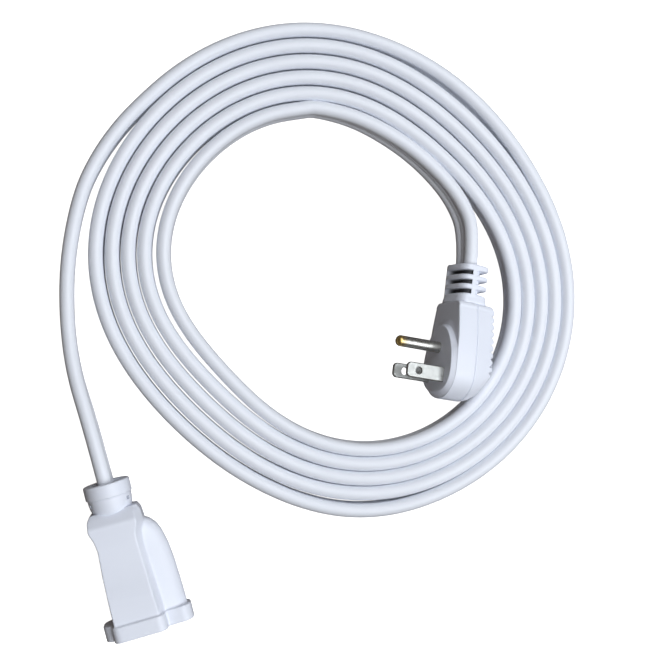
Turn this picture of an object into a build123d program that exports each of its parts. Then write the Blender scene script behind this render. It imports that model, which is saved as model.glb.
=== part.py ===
"""Household extension cord: a flat three-conductor cord wound in one flat coil, with a
right-angle grounding plug at the inner end and a single connector at the outer end.
Millimetres. X and Y lie on the surface that the cord rests on, and Z is up.
The plug and the connector are each made in a frame of their own and then placed."""

import os
from math import cos, radians, sin, tan

from build123d import *

os.makedirs("parts", exist_ok=True)

# ---------------------------------------------------------------- driving dimensions
# Flat cord, standing on its edge.
CORD_WIDTH = 12.4
CORD_THICKNESS = 6.15
CONDUCTOR_PITCH = 4.0
INSULATION_RADIUS = 1.6
COPPER_RADIUS = 1.0

# Coil: the outer edge of each turn is a mean radius with four gentle waves, less a pitch
# that has two waves of its own. Each wave is (how many per turn, height, angle of its peak).
COIL_CENTRE = (10.75, 75.79)
COIL_RADIUS = 107.72
COIL_WAVES = ((1, 7.66, -6.0), (2, 5.84, -81.0), (3, 1.21, -133.0), (4, 0.98, 0.0))
TURN_PITCH = 6.65
PITCH_WAVES = ((1, 0.31, 159.0), (2, 0.30, 120.0))
COIL_START_ANGLE = 135.6
COIL_TURNS = 5.1
# The innermost turn stands off from its neighbour on one side: (middle, half width, gap).
INNER_GAP = (4.877, 0.22, 1.3)
OUTLINE_POINTS = 48

# Blade and pin sizes of a 15 A, 125 V grounding plug.
BLADE_SPACING = 12.7
BLADE_WIDTH = 6.35
BLADE_THICKNESS = 1.5
BLADE_LENGTH = 17.4
BLADE_HOLE_RADIUS = 1.7
BLADE_HOLE_FROM_FACE = 11.9
PIN_RADIUS = 2.38
PIN_ROOT_RADIUS = 1.9
PIN_LENGTH = 20.6
PIN_OFFSET = 11.9

# Plug, in its own frame: X is the way the prongs point, Y runs across the blades and Z
# towards the cord. Its origin is on the boss's face, midway between the blades.
PLUG_AT = (60.35, 30.74, 18.5)
PRONG_DIRECTION = (-0.951, 0.1548, 0.2677)
CORD_DIRECTION = (0.1349, 0.9867, -0.0912)
BOSS_HEIGHT = 2.2
BOSS_WAIST = 3.1
BOSS_HALF_WIDTH = 12.6
BOSS_RISE = 19.2
BOSS_DROP = 11.0
SEAM_X = -11.3
SEAM_GROOVE = 0.5
BACK_X = -21.7
BODY_TOP = 32.3
BODY_WAIST = 2.5
BODY_BOTTOM = -9.9
BODY_HALF_WIDTH = 13.4
BODY_TOP_HALF_WIDTH = 9.6
BACK_HALF_WIDTH = 10.6
CORD_X = -9.4
CRIMP_X = -8.4
CRIMP_RADIUS = 1.8
RELIEF_TOP = 49.5
JACKET_END = 25.0

# Connector, in its own frame: X to its right, Y towards the cord and Z up. Its origin is
# on the socket face, on the cord's axis.
CONNECTOR_AT = (-62.55, -75.41, 11.5)
CONNECTOR_TURN = 14.5
FLANGE_THICKNESS = 6.4
FLANGE_HALF_HEIGHT = 11.5
GRIP_HALF_HEIGHT = 10.5
WING_HALF_HEIGHT = 5.4
EAR_HALF_HEIGHT = 5.9
NECK_START = 50.0
COLLAR_TOP = 63.8
COLLAR_RADIUS = 9.7
CONNECTOR_JACKET_END = 45.0
CONTACT_DEPTH = 18.6

plug_place = Plane(origin=PLUG_AT, x_dir=PRONG_DIRECTION, z_dir=CORD_DIRECTION).location
connector_place = Location(CONNECTOR_AT, (0, 0, CONNECTOR_TURN))


# ---------------------------------------------------------------- the coil's shape
def waves(angle, terms):
    """Sum of the waves at an angle in degrees."""
    return sum(height * cos(radians(count * angle - peak)) for count, height, peak in terms)


def coil_point(turns, inset):
    """Point of the spiral after some turns from its outer end, inset from the outer edge."""
    angle = COIL_START_ANGLE - 360 * turns
    pitch = TURN_PITCH + waves(angle, PITCH_WAVES)
    middle, half_width, gap = INNER_GAP
    stand_off = gap * cos(radians(90 * min(abs(turns - middle) / half_width, 1))) ** 2
    radius = COIL_RADIUS + waves(angle, COIL_WAVES) - pitch * turns - stand_off - inset
    return Vector(
        COIL_CENTRE[0] + radius * cos(radians(angle)),
        COIL_CENTRE[1] + radius * sin(radians(angle)),
    )


def coil_edge(first_turn, inset):
    """Points along one whole turn."""
    return [coil_point(first_turn + i / OUTLINE_POINTS, inset) for i in range(OUTLINE_POINTS + 1)]


with BuildPart() as cord_coil:
    with BuildSketch():
        with BuildLine():
            outer_edge = Spline(*coil_edge(0, 0))
            Line(outer_edge @ 1, outer_edge @ 0)
        make_face()
        with BuildLine():
            inner_edge = Spline(*coil_edge(COIL_TURNS - 1, CORD_THICKNESS))
            Line(inner_edge @ 1, inner_edge @ 0)
        make_face(mode=Mode.SUBTRACT)
    extrude(amount=CORD_WIDTH)

# ---------------------------------------------------------------- the cord's two leads
COIL_START = coil_point(0, CORD_THICKNESS / 2)
COIL_END = coil_point(COIL_TURNS, CORD_THICKNESS / 2)
COIL_END_ANGLE = COIL_START_ANGLE - 360 * COIL_TURNS
HALF_WIDTH = CORD_WIDTH / 2
collar_centre = (connector_place * Location((0, COLLAR_TOP, 0))).position
relief_centre = (plug_place * Location((CORD_X, 0, RELIEF_TOP))).position


def along(point, angle, distance, height=HALF_WIDTH):
    """A point some way from another at an angle in the XY plane."""
    x = point.X + distance * cos(radians(angle))
    y = point.Y + distance * sin(radians(angle))
    return Vector(x, y, height)


OUTER_LEAD_ROUTE = [
    Vector(COIL_START.X, COIL_START.Y, HALF_WIDTH),
    along(COIL_START, COIL_START_ANGLE + 90, 16.5),
    Vector(-83.3, 121.5, 6.2),
    Vector(-90.2, 106.1, 6.2),
    Vector(-95.0, 81.1, 6.2),
    Vector(-95.4, 56.1, 6.3),
    Vector(-92.4, 32.6, 7.6),
    along(collar_centre, CONNECTOR_TURN + 90, 23, collar_centre.Z),
    collar_centre,
]
PLUG_LEAD_ROUTE = [
    Vector(COIL_END.X, COIL_END.Y, HALF_WIDTH),
    along(COIL_END, COIL_END_ANGLE - 90, 11),
    Vector(28.2, 142.3, 6.2),
    Vector(46.5, 132.7, 6.3),
    Vector(61.1, 121.1, 6.5),
    Vector(72.4, 107.7, 7.1),
    relief_centre + Vector(*CORD_DIRECTION) * 14,
    relief_centre,
]


def corner_radii(route):
    """Each corner's arc takes 0.45 of its shorter run."""
    radii = []
    for before, corner, after in zip(route, route[1:], route[2:]):
        turn = (corner - before).get_angle(after - corner)
        shorter = min((corner - before).length, (after - corner).length)
        radii.append(0.45 * shorter / tan(radians(turn) / 2))
    return radii


def lead(route):
    """A flat tube on its edge along the route."""
    radii = corner_radii(route)
    with BuildPart() as tube:
        with BuildLine() as path:
            FilletPolyline(*route, radius=radii)
        centre_line = path.wire()
        with BuildSketch(Plane(origin=route[0], x_dir=(0, 0, 1), z_dir=centre_line % 0)) as section:
            SlotOverall(CORD_WIDTH, CORD_THICKNESS)
        sweep(path=centre_line)
    length = centre_line.length
    print("lead: length", round(length, 1), "radii", [round(r) for r in radii])
    print("  volume over section times length", round(tube.part.volume / (section.sketch.area * length), 4))
    return tube, length


cord_outer_lead, outer_length = lead(OUTER_LEAD_ROUTE)
cord_plug_lead, plug_length = lead(PLUG_LEAD_ROUTE)


def coil_length(steps_per_turn=360):
    """Length of the coil's centre line."""
    steps = round(COIL_TURNS * steps_per_turn)
    line = [coil_point(i * COIL_TURNS / steps, CORD_THICKNESS / 2) for i in range(steps + 1)]
    return sum((b - a).length for a, b in zip(line, line[1:]))


print("cord length between plug and connector", round(outer_length + coil_length() + plug_length))


# ---------------------------------------------------------------- small round pieces
def rod(start, end, radius):
    """A straight round rod with ends square to Z, from one height to another."""
    way = Vector(*end) - Vector(*start)
    with BuildPart() as piece:
        with BuildSketch(Plane(origin=start)):
            Circle(radius)
        extrude(amount=way.length, dir=way.normalized())
    return piece


def rod_along_y(start, end, radius):
    """The same with ends square to Y."""
    way = Vector(*end) - Vector(*start)
    with BuildPart() as piece:
        with BuildSketch(Plane(origin=start, x_dir=(1, 0, 0), z_dir=(0, 1, 0))):
            Circle(radius)
        extrude(amount=way.length, dir=way.normalized())
    return piece


# ---------------------------------------------------------------- plug: metal and wires
def blade(side):
    """Flat blade with its wire crimp, on one side of the plug."""
    y = side * BLADE_SPACING / 2
    inner_end = CRIMP_X - CRIMP_RADIUS
    length = BLADE_LENGTH - inner_end
    with BuildPart() as piece:
        with Locations(((BLADE_LENGTH + inner_end) / 2, y, 0)):
            Box(length, BLADE_THICKNESS, BLADE_WIDTH)
        tip = piece.edges().filter_by(Axis.Y).group_by(Axis.X)[-1]
        fillet(tip, 1.9)
        chamfer(piece.faces().sort_by(Axis.X)[-1].edges().filter_by(Axis.Z), 0.35)
        with Locations(Location((BLADE_HOLE_FROM_FACE, y, 0), (90, 0, 0))):
            Cylinder(BLADE_HOLE_RADIUS, 2 * BLADE_THICKNESS, mode=Mode.SUBTRACT)
        with Locations((CRIMP_X, y, 2.4)):
            Cylinder(CRIMP_RADIUS, 8.6, align=(Align.CENTER, Align.CENTER, Align.MIN))
        with Locations((CRIMP_X, y, 3.8)):
            Cylinder(COPPER_RADIUS, 8, align=(Align.CENTER, Align.CENTER, Align.MIN), mode=Mode.SUBTRACT)
    return piece


hot_blade = blade(1)
neutral_blade = blade(-1)

with BuildPart() as ground_pin:
    inner_end = CRIMP_X - CRIMP_RADIUS - 0.5
    with BuildSketch(Plane.YZ):
        with Locations((0, PIN_OFFSET)):
            Circle(PIN_RADIUS)
    extrude(amount=PIN_LENGTH)
    fillet(ground_pin.edges().group_by(Axis.X)[-1], 2.1)
    with BuildSketch(Plane.YZ.offset(inner_end)):
        with Locations((0, PIN_OFFSET)):
            Circle(PIN_ROOT_RADIUS)
    extrude(amount=-inner_end)
    with Locations((CRIMP_X, 0, PIN_OFFSET + 1.0)):
        Cylinder(CRIMP_RADIUS, 7.1, align=(Align.CENTER, Align.CENTER, Align.MIN))
    with Locations((CRIMP_X, 0, PIN_OFFSET + 3)):
        Cylinder(COPPER_RADIUS, 8, align=(Align.CENTER, Align.CENTER, Align.MIN), mode=Mode.SUBTRACT)

BLADE_WIRE_TOP = 12.0
PIN_WIRE_TOP = 21.0
half_spacing = BLADE_SPACING / 2
plug_hot_copper = rod((CRIMP_X, half_spacing, 3.8), (CRIMP_X, half_spacing, BLADE_WIRE_TOP), COPPER_RADIUS)
plug_neutral_copper = rod((CRIMP_X, -half_spacing, 3.8), (CRIMP_X, -half_spacing, BLADE_WIRE_TOP), COPPER_RADIUS)
plug_ground_copper = rod((CRIMP_X, 0, PIN_OFFSET + 3), (CRIMP_X, 0, PIN_WIRE_TOP), COPPER_RADIUS)
plug_hot_wire = rod(
    (CRIMP_X, half_spacing, BLADE_WIRE_TOP), (CORD_X, CONDUCTOR_PITCH, JACKET_END), INSULATION_RADIUS
)
plug_neutral_wire = rod(
    (CRIMP_X, -half_spacing, BLADE_WIRE_TOP), (CORD_X, -CONDUCTOR_PITCH, JACKET_END), INSULATION_RADIUS
)
plug_ground_wire = rod((CRIMP_X, 0, PIN_WIRE_TOP), (CORD_X, 0, JACKET_END), INSULATION_RADIUS)

with BuildPart() as plug_cord_end:
    with BuildSketch(Plane.XY.offset(JACKET_END)):
        with Locations((CORD_X, 0)):
            SlotOverall(CORD_WIDTH, CORD_THICKNESS, rotation=90)
    extrude(amount=RELIEF_TOP - JACKET_END)

plug_metal = [hot_blade, neutral_blade, ground_pin]
plug_wires = [
    plug_hot_copper,
    plug_neutral_copper,
    plug_ground_copper,
    plug_hot_wire,
    plug_neutral_wire,
    plug_ground_wire,
    plug_cord_end,
]

# Hard block that holds the two blades and the pin in line.
CARRIER_FRONT = -1.2
CARRIER_DEPTH = 5.2
with BuildPart() as plug_prong_carrier:
    with Locations((CARRIER_FRONT - CARRIER_DEPTH / 2, 0, 5.3)):
        Box(CARRIER_DEPTH, 19.2, 21.0)
    fillet(plug_prong_carrier.edges().filter_by(Axis.X), 2.0)
    for piece in plug_metal:
        add(piece.part, mode=Mode.SUBTRACT)

# ---------------------------------------------------------------- plug: strain relief
RELIEF_DEPTH = 15.0
RELIEF_WIDTH = 16.0
RELIEF_SLOTS = (37.3, 41.4, 45.5)
SLOT_HEIGHT = 1.6
SPINE_WIDTH = 2.4
with BuildPart() as relief_root:
    with Locations((CORD_X, 0, BODY_TOP)):
        Box(9.0, 14.6, 6.0, align=(Align.CENTER, Align.CENTER, Align.MAX))

with BuildPart() as plug_strain_relief:
    with BuildSketch(Plane.XY.offset(BODY_TOP)):
        with Locations((CORD_X - 0.6, 0)):
            RectangleRounded(RELIEF_DEPTH, RELIEF_WIDTH, 4.2)
    extrude(amount=RELIEF_TOP - BODY_TOP)
    fillet(plug_strain_relief.edges().group_by(Axis.Z)[-1], 0.9)
    for height in RELIEF_SLOTS:
        with BuildSketch(Plane.XY.offset(height - SLOT_HEIGHT / 2)):
            with Locations((CORD_X, 0)):
                Rectangle(2 * RELIEF_DEPTH, 2 * RELIEF_WIDTH)
                with Locations((0.3, 0)):
                    RectangleRounded(9.4, 13.4, 3.4, mode=Mode.SUBTRACT)
                Rectangle(SPINE_WIDTH, 2 * RELIEF_WIDTH, mode=Mode.SUBTRACT)
        extrude(amount=SLOT_HEIGHT, mode=Mode.SUBTRACT)
    add(relief_root.part)
    add(plug_cord_end.part, mode=Mode.SUBTRACT)


# ---------------------------------------------------------------- plug: two-part body
def body_outline():
    """Face on: a round lower end, and sides that draw in towards the cord."""
    with BuildSketch(Plane.YZ) as outline:
        with BuildLine():
            side = Spline(
                (BODY_HALF_WIDTH, BODY_WAIST),
                (12.3, 18.5),
                (BODY_TOP_HALF_WIDTH, BODY_TOP),
                tangents=((0, 1), (-0.24, 1)),
            )
            mirror(side, about=Plane.YZ)
            Line(side @ 1, (-BODY_TOP_HALF_WIDTH, BODY_TOP))
            EllipticalCenterArc(
                (0, BODY_WAIST), BODY_HALF_WIDTH, BODY_WAIST - BODY_BOTTOM, start_angle=180, arc_size=180
            )
        make_face()
        fillet(outline.vertices().group_by(Axis.Y)[-1], 2.6)
    return outline.sketch


outline = body_outline()

with BuildPart() as plug_front_body:
    extrude(outline.moved(Location((SEAM_X, 0, 0))), amount=-BOSS_HEIGHT - SEAM_X, dir=(1, 0, 0))
    fillet(plug_front_body.faces().sort_by(Axis.X)[-1].edges(), 0.7)
    chamfer(plug_front_body.faces().sort_by(Axis.X)[0].edges(), SEAM_GROOVE)
    with BuildSketch(Plane.YZ.offset(-BOSS_HEIGHT - 2)):
        with BuildLine():
            EllipticalCenterArc((0, BOSS_WAIST), BOSS_HALF_WIDTH, BOSS_RISE, start_angle=0, arc_size=180)
            EllipticalCenterArc((0, BOSS_WAIST), BOSS_HALF_WIDTH, BOSS_DROP, start_angle=180, arc_size=180)
        make_face()
    extrude(amount=BOSS_HEIGHT + 2)
    fillet(plug_front_body.faces().sort_by(Axis.X)[-1].edges(), 0.9)
    for piece in [*plug_metal, *plug_wires, plug_prong_carrier, relief_root]:
        add(piece.part, mode=Mode.SUBTRACT)

GRIP_RIBS = 9
RIB_PITCH = 3.1
with BuildPart() as plug_rear_body:
    extrude(outline.moved(Location((BACK_X, 0, 0))), amount=SEAM_X - BACK_X, dir=(1, 0, 0))
    with BuildSketch(Plane.XY.offset(BODY_BOTTOM - 1)):
        with BuildLine():
            Polyline(
                (SEAM_X, BODY_HALF_WIDTH + 0.2),
                (BACK_X, BACK_HALF_WIDTH),
                (BACK_X, -BACK_HALF_WIDTH),
                (SEAM_X, -BODY_HALF_WIDTH - 0.2),
                close=True,
            )
        make_face()
    extrude(amount=BODY_TOP - BODY_BOTTOM + 2, mode=Mode.INTERSECT)
    with BuildSketch(Plane.XZ) as side_profile:
        with BuildLine():
            heel = EllipticalCenterArc(
                (SEAM_X, 4.5), SEAM_X - BACK_X, 4.5 - BODY_BOTTOM, start_angle=180, arc_size=90
            )
            Polyline(heel @ 0, (BACK_X, BODY_TOP), (SEAM_X, BODY_TOP), heel @ 1)
        make_face()
        fillet(side_profile.vertices().sort_by(Axis.X)[:2].sort_by(Axis.Y)[-1], 3.0)
    extrude(amount=2 * BODY_HALF_WIDTH, both=True, mode=Mode.INTERSECT)
    for rib in range(GRIP_RIBS):
        with Locations(Location((BACK_X - 0.5, 0, 28.0 - rib * RIB_PITCH), (90, 0, 0))):
            Cylinder(1.2, 4 * BODY_HALF_WIDTH, mode=Mode.SUBTRACT)
    for piece in [plug_cord_end, relief_root]:
        add(piece.part, mode=Mode.SUBTRACT)

# ---------------------------------------------------------------- connector: inner pieces
POCKET_START = 2.0
LEAF = 0.5
LEAF_GAP = 1.7


def slot_contact(side):
    """Folded strip with two leaves that grip a blade, and a crimp at its inner end."""
    z = side * BLADE_SPACING / 2
    with BuildPart() as piece:
        with BuildSketch(Plane.YZ) as strip:
            with Locations((POCKET_START + 0.2, z)):
                Rectangle(
                    CONTACT_DEPTH - POCKET_START - 0.2, LEAF_GAP + 2 * LEAF, align=(Align.MIN, Align.CENTER)
                )
                Rectangle(
                    CONTACT_DEPTH - POCKET_START - 0.2 - LEAF,
                    LEAF_GAP,
                    align=(Align.MIN, Align.CENTER),
                    mode=Mode.SUBTRACT,
                )
        extrude(amount=3.2, both=True)
        with BuildSketch(Plane(origin=(0, CONTACT_DEPTH - LEAF, z), x_dir=(1, 0, 0), z_dir=(0, 1, 0))):
            Circle(CRIMP_RADIUS)
        extrude(amount=7.0 + LEAF)
        with BuildSketch(Plane(origin=(0, CONTACT_DEPTH + 0.5, z), x_dir=(1, 0, 0), z_dir=(0, 1, 0))):
            Circle(COPPER_RADIUS)
        extrude(amount=7.0, mode=Mode.SUBTRACT)
    return piece


hot_contact = slot_contact(1)
neutral_contact = slot_contact(-1)

GROUND_SOCKET_RADIUS = 2.55
GROUND_SOCKET_DEPTH = 20.8
with BuildPart() as ground_contact:
    with BuildSketch(Plane(origin=(PIN_OFFSET, POCKET_START + 0.2, 0), x_dir=(1, 0, 0), z_dir=(0, 1, 0))):
        Circle(GROUND_SOCKET_RADIUS + LEAF)
    extrude(amount=GROUND_SOCKET_DEPTH + 0.8 - POCKET_START - 0.2)
    with BuildSketch(Plane(origin=(PIN_OFFSET, 0, 0), x_dir=(1, 0, 0), z_dir=(0, 1, 0))):
        Circle(GROUND_SOCKET_RADIUS)
    extrude(amount=GROUND_SOCKET_DEPTH, mode=Mode.SUBTRACT)
    with BuildSketch(Plane(origin=(PIN_OFFSET, GROUND_SOCKET_DEPTH + 0.4, 0), x_dir=(1, 0, 0), z_dir=(0, 1, 0))):
        Circle(CRIMP_RADIUS)
    extrude(amount=6.4)
    with BuildSketch(Plane(origin=(PIN_OFFSET, GROUND_SOCKET_DEPTH + 1.2, 0), x_dir=(1, 0, 0), z_dir=(0, 1, 0))):
        Circle(COPPER_RADIUS)
    extrude(amount=6.0, mode=Mode.SUBTRACT)

SLOT_WIRE = CONTACT_DEPTH + 8.0
GROUND_WIRE = GROUND_SOCKET_DEPTH + 8.0
connector_hot_copper = rod_along_y((0, CONTACT_DEPTH + 0.5, half_spacing), (0, SLOT_WIRE, half_spacing), COPPER_RADIUS)
connector_neutral_copper = rod_along_y(
    (0, CONTACT_DEPTH + 0.5, -half_spacing), (0, SLOT_WIRE, -half_spacing), COPPER_RADIUS
)
connector_ground_copper = rod_along_y(
    (PIN_OFFSET, GROUND_SOCKET_DEPTH + 1.2, 0), (PIN_OFFSET, GROUND_WIRE, 0), COPPER_RADIUS
)
connector_hot_wire = rod_along_y(
    (0, SLOT_WIRE, half_spacing), (0, CONNECTOR_JACKET_END, CONDUCTOR_PITCH), INSULATION_RADIUS
)
connector_neutral_wire = rod_along_y(
    (0, SLOT_WIRE, -half_spacing), (0, CONNECTOR_JACKET_END, -CONDUCTOR_PITCH), INSULATION_RADIUS
)
connector_ground_wire = rod_along_y((PIN_OFFSET, GROUND_WIRE, 0), (0, CONNECTOR_JACKET_END, 0), INSULATION_RADIUS)

with BuildPart() as connector_cord_end:
    with BuildSketch(Plane(origin=(0, CONNECTOR_JACKET_END, 0), x_dir=(0, 0, 1), z_dir=(0, 1, 0))):
        SlotOverall(CORD_WIDTH, CORD_THICKNESS)
    extrude(amount=COLLAR_TOP - CONNECTOR_JACKET_END)

connector_metal = [hot_contact, neutral_contact, ground_contact]
connector_wires = [
    connector_hot_copper,
    connector_neutral_copper,
    connector_ground_copper,
    connector_hot_wire,
    connector_neutral_wire,
    connector_ground_wire,
    connector_cord_end,
]

# Hard block with a chamber for each contact and the three openings in its face.
SLOT_OPENING = 2.2
HOT_SLOT_WIDTH = 7.1
NEUTRAL_SLOT_WIDTH = 8.2
with BuildPart() as carrier_block:
    with BuildSketch(Plane.XZ):
        with Locations((0.5, 0)):
            RectangleRounded(11.8, 18.4, 2.5)
        with Locations((9.8, 0)):
            RectangleRounded(13.0, 9.0, 3.0)
    extrude(amount=-CONTACT_DEPTH)

with BuildPart() as connector_contact_carrier:
    add(carrier_block.part)
    for z, width in ((half_spacing, HOT_SLOT_WIDTH), (-half_spacing, NEUTRAL_SLOT_WIDTH)):
        with BuildSketch(Plane.XZ):
            with Locations((0, z)):
                Rectangle(width, SLOT_OPENING)
        extrude(amount=-POCKET_START - 0.1, mode=Mode.SUBTRACT)
        with BuildSketch(Plane.XZ.offset(-POCKET_START)):
            with Locations((0, z)):
                Rectangle(9.0, 4.4)
        extrude(amount=-CONTACT_DEPTH, mode=Mode.SUBTRACT)
    with BuildSketch(Plane.XZ):
        with Locations((PIN_OFFSET, 0)):
            Circle(GROUND_SOCKET_RADIUS)
    extrude(amount=-POCKET_START - 0.1, mode=Mode.SUBTRACT)
    with BuildSketch(Plane.XZ.offset(-POCKET_START)):
        with Locations((PIN_OFFSET, 0)):
            Circle(GROUND_SOCKET_RADIUS + LEAF + 0.1)
    extrude(amount=-CONTACT_DEPTH, mode=Mode.SUBTRACT)

# ---------------------------------------------------------------- connector: strain relief
with BuildPart() as connector_strain_relief:
    with BuildSketch(Plane.YZ):
        with BuildLine():
            taper = ThreePointArc((NECK_START, 6.8), (53.4, 8.5), (58.0, 9.2))
            Polyline(
                taper @ 1,
                (58.0, COLLAR_RADIUS - 0.3),
                (58.3, COLLAR_RADIUS),
                (COLLAR_TOP - 0.5, COLLAR_RADIUS),
                (COLLAR_TOP, COLLAR_RADIUS - 0.5),
                (COLLAR_TOP, 0),
                (NECK_START, 0),
                taper @ 0,
            )
        make_face()
    revolve(axis=Axis.Y)
    for side in (-1, 1):
        with Locations((side * 11.2, 55.8, 0)):
            Box(8.0, 1.5, 9.0, mode=Mode.SUBTRACT)
    with Locations((0, NECK_START, 0)):
        Box(9.0, 4.0, 13.6, align=(Align.CENTER, Align.MAX, Align.CENTER))
    add(connector_cord_end.part, mode=Mode.SUBTRACT)

# ---------------------------------------------------------------- connector: moulded body
with BuildPart() as connector_body:
    # Bell-shaped wing beside the grip, thinner than it.
    with BuildSketch(Plane.XY.offset(-WING_HALF_HEIGHT)):
        with BuildLine():
            bell = Spline(
                (19.9, FLANGE_THICKNESS - 1),
                (19.4, 24.5),
                (17.2, 38.0),
                (10.5, 45.6),
                (4.0, 46.6),
                tangents=((0, 1), (-1, 0)),
            )
            Polyline(bell @ 1, (4.0, FLANGE_THICKNESS - 1), bell @ 0)
        make_face()
    extrude(amount=2 * WING_HALF_HEIGHT)
    rim = connector_body.edges().filter_by(GeomType.BSPLINE)
    fillet(rim, 3.6)
    # Grip with a waist, a flared rear lip and a finger hollow above and below.
    with BuildPart(mode=Mode.PRIVATE) as grip:
        with BuildSketch(Plane.XY.offset(-FLANGE_HALF_HEIGHT)):
            with BuildLine():
                Spline((-10.2, FLANGE_THICKNESS - 1), (-9.9, 28.0), (-9.2, 40.0), (-10.9, 46.4), (-10.4, 50.5))
                Line((-10.4, 50.5), (10.4, 50.5))
                Spline((10.4, 50.5), (11.2, 46.0), (8.2, 41.0), (8.4, 28.0), (9.3, FLANGE_THICKNESS - 1))
                Line((9.3, FLANGE_THICKNESS - 1), (-10.2, FLANGE_THICKNESS - 1))
            make_face()
        extrude(amount=2 * FLANGE_HALF_HEIGHT)
        with BuildSketch(Plane.YZ):
            with BuildLine():
                hollow = ThreePointArc((16.0, GRIP_HALF_HEIGHT), (31.0, 8.4), (47.0, GRIP_HALF_HEIGHT))
                crest = Line((FLANGE_THICKNESS - 1, GRIP_HALF_HEIGHT), hollow @ 0)
                slope = Line(hollow @ 1, (51.0, 7.4))
                mirror([crest, hollow, slope], about=Plane.XZ)
                Line(slope @ 1, (51.0, -7.4))
                Line(crest @ 0, (FLANGE_THICKNESS - 1, -GRIP_HALF_HEIGHT))
            make_face()
        extrude(amount=2 * FLANGE_HALF_HEIGHT, both=True, mode=Mode.INTERSECT)
    add(grip.part)
    # Flange around the socket face: tall behind the slots, lower at both ends.
    with BuildSketch(Plane.XZ) as flange:
        with Locations((3.1, 0)):
            RectangleRounded(36.6, 2 * EAR_HALF_HEIGHT, 4.5)
        with Locations((-0.4, 0)):
            RectangleRounded(22.0, 2 * FLANGE_HALF_HEIGHT, 4.0)
    extrude(amount=-FLANGE_THICKNESS)
    for piece in [carrier_block, *connector_metal, *connector_wires, connector_strain_relief]:
        add(piece.part, mode=Mode.SUBTRACT)
    with BuildSketch(Plane(origin=(PIN_OFFSET, 1, 0), x_dir=(1, 0, 0), z_dir=(0, 1, 0))):
        Circle(GROUND_SOCKET_RADIUS)
    extrude(amount=GROUND_SOCKET_DEPTH - 1, mode=Mode.SUBTRACT)

# ---------------------------------------------------------------- files
cord_pieces = {
    "cord_outer_lead": cord_outer_lead,
    "cord_coil": cord_coil,
    "cord_plug_lead": cord_plug_lead,
}
plug_pieces = {
    "plug_front_body": plug_front_body,
    "plug_rear_body": plug_rear_body,
    "plug_strain_relief": plug_strain_relief,
    "plug_prong_carrier": plug_prong_carrier,
    "plug_hot_blade": hot_blade,
    "plug_neutral_blade": neutral_blade,
    "plug_ground_pin": ground_pin,
    "plug_cord_end": plug_cord_end,
    "plug_hot_wire": plug_hot_wire,
    "plug_neutral_wire": plug_neutral_wire,
    "plug_ground_wire": plug_ground_wire,
    "plug_hot_copper": plug_hot_copper,
    "plug_neutral_copper": plug_neutral_copper,
    "plug_ground_copper": plug_ground_copper,
}
connector_pieces = {
    "connector_body": connector_body,
    "connector_strain_relief": connector_strain_relief,
    "connector_contact_carrier": connector_contact_carrier,
    "connector_hot_contact": hot_contact,
    "connector_neutral_contact": neutral_contact,
    "connector_ground_contact": ground_contact,
    "connector_cord_end": connector_cord_end,
    "connector_hot_wire": connector_hot_wire,
    "connector_neutral_wire": connector_neutral_wire,
    "connector_ground_wire": connector_ground_wire,
    "connector_hot_copper": connector_hot_copper,
    "connector_neutral_copper": connector_neutral_copper,
    "connector_ground_copper": connector_ground_copper,
}
for pieces, place in ((cord_pieces, Location()), (plug_pieces, plug_place), (connector_pieces, connector_place)):
    for name, piece in pieces.items():
        placed = piece.part.moved(place)
        placed.label = name
        export_step(placed, f"parts/{name}.step")
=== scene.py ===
"""Looks for the coiled extension cord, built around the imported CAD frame. Blender 4.5.

The cord and both mouldings are built here in detail; prongs and contacts are the CAD nodes
with better materials. Local frames are in millimetres and placed as in the CAD."""

import bpy
import numpy as np
from mathutils import Matrix, Vector


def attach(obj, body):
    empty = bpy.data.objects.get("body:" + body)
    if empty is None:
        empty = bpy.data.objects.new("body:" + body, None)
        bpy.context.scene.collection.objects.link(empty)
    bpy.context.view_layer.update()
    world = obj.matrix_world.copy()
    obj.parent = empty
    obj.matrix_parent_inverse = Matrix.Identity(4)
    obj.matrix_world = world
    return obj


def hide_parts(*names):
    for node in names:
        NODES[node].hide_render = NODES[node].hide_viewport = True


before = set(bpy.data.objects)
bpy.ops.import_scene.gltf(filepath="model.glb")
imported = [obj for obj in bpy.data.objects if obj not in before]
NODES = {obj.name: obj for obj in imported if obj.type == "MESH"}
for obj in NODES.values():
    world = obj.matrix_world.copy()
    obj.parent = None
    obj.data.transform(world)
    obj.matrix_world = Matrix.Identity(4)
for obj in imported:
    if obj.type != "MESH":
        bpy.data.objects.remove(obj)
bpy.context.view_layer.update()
MM = 0.001

# ---------------------------------------------------------------- places, as in the CAD
PLUG_AT = np.array((60.35, 30.74, 18.5))
PLUG_Z = np.array((0.1349, 0.9867, -0.0912))
PLUG_Z /= np.linalg.norm(PLUG_Z)
PLUG_X = np.array((-0.951, 0.1548, 0.2677))
PLUG_X -= PLUG_Z * (PLUG_X @ PLUG_Z)
PLUG_X /= np.linalg.norm(PLUG_X)
PLUG_Y = np.cross(PLUG_Z, PLUG_X)
CONNECTOR_AT = np.array((-62.55, -75.41, 11.5))
CONNECTOR_DEGREES = 14.5
CONNECTOR_TURN = np.radians(CONNECTOR_DEGREES)
CONNECTOR_X = np.array((np.cos(CONNECTOR_TURN), np.sin(CONNECTOR_TURN), 0))
CONNECTOR_Y = np.array((-np.sin(CONNECTOR_TURN), np.cos(CONNECTOR_TURN), 0))
CONNECTOR_Z = np.array((0.0, 0.0, 1.0))
PLUG_FRAME = (PLUG_AT, PLUG_X, PLUG_Y, PLUG_Z)
CONNECTOR_FRAME = (CONNECTOR_AT, CONNECTOR_X, CONNECTOR_Y, CONNECTOR_Z)


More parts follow.
